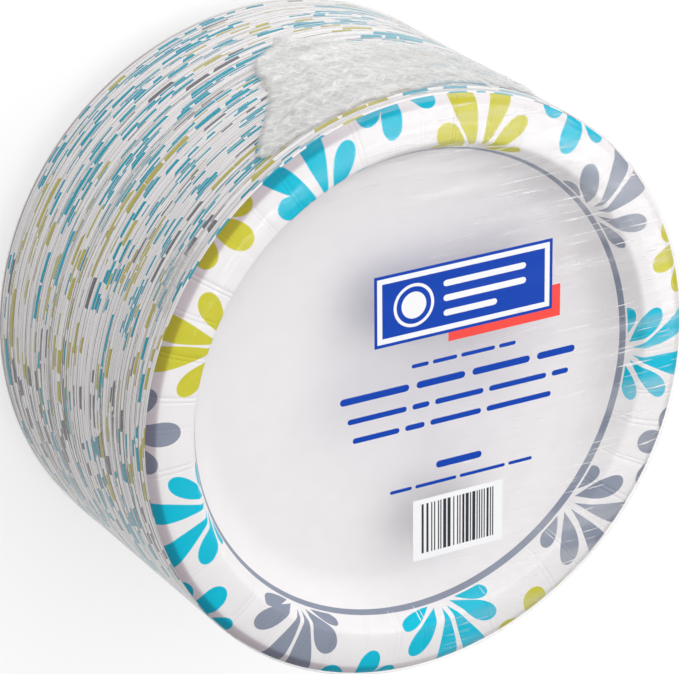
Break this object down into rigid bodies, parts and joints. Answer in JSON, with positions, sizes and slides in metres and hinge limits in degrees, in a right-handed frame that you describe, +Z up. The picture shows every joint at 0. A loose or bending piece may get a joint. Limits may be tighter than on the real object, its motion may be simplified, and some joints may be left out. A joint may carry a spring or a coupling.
{
  "type": "stack of paper plates",
  "caption": "Round pressed paper plates nested face up in a tight stack, held together by a clear shrunk film.",
  "frame": {"origin": "centre of the base, on the surface that the stack stands on", "axes": "+Z up along the axis of the stack, out of the eating face; +X along the printed bars on the film"},
  "size_m": [0.2195, 0.2194, 0.1338],
  "materials": {
    "clear_film": "clear glossy shrunk film",
    "plate_paper": "smooth coated white paperboard, satin",
    "print_teal": "teal print on coated paperboard",
    "print_lime": "lime print on coated paperboard",
    "print_grey": "grey print on coated paperboard",
    "label_ink": "blue ink on the film"
  },
  "bodies": {
    "root": {"wrap_film": "clear_film", "plate_top": "plate_paper", "plates_nested": "plate_paper"}
  },
  "joints": []
}
